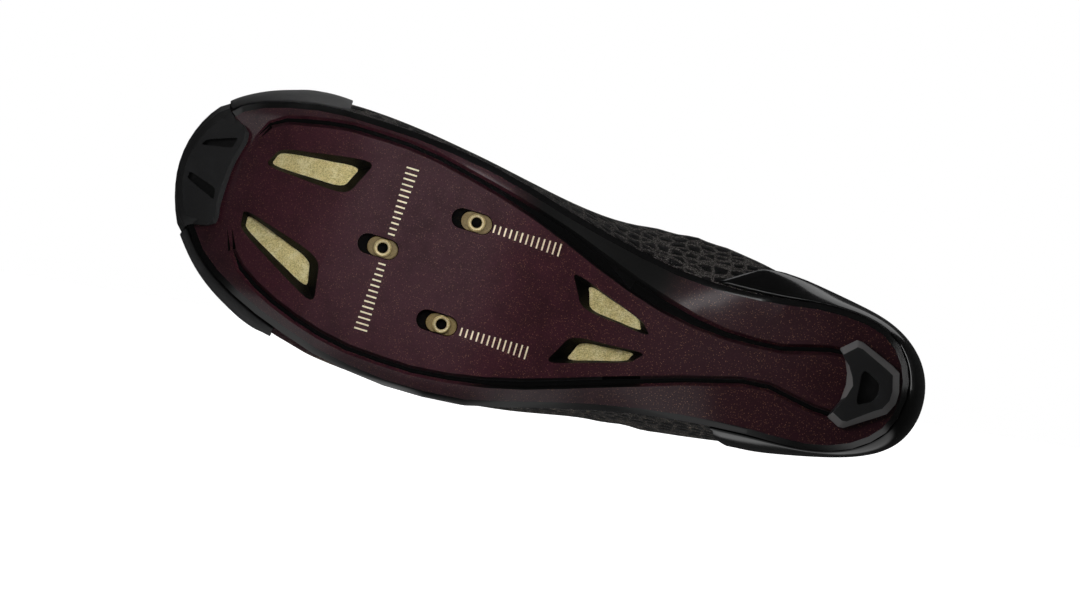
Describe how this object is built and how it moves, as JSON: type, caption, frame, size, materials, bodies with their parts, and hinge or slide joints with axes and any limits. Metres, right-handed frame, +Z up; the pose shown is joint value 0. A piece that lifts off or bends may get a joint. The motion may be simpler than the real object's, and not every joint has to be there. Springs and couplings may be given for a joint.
{
  "type": "cycling shoe",
  "caption": "Right road cycling shoe lying on its lateral side: hollow knit upper, stiff sole with cleat inserts, vents, heel and toe pads, and closing straps.",
  "frame": {"origin": "centre of the bounding box in plan, on the floor that the shoe lies on", "axes": "+Z up, the medial side uppermost; -X towards the toe; the sole stands upright and faces -Y"},
  "size_m": [0.2826, 0.0934, 0.105],
  "materials": {
    "outsole": "clear-coated carbon composite",
    "toe_pad": "matte",
    "toe_guard": "matte",
    "heel_pad": "matte",
    "heel_counter": "polished",
    "cleat_insert": "turned",
    "insole": "felted",
    "upper": "knit",
    "tongue": "knit",
    "strap": "woven"
  },
  "bodies": {
    "root": {"outsole": "outsole", "toe_pad": "toe_pad", "toe_guard": "toe_guard", "heel_pad": "heel_pad", "heel_counter": "heel_counter", "cleat_insert_front": "cleat_insert", "cleat_insert_medial": "cleat_insert", "cleat_insert_lateral": "cleat_insert", "insole": "insole", "upper": "upper", "tongue": "tongue", "strap_instep": "strap", "strap_forefoot": "strap"}
  },
  "joints": []
}
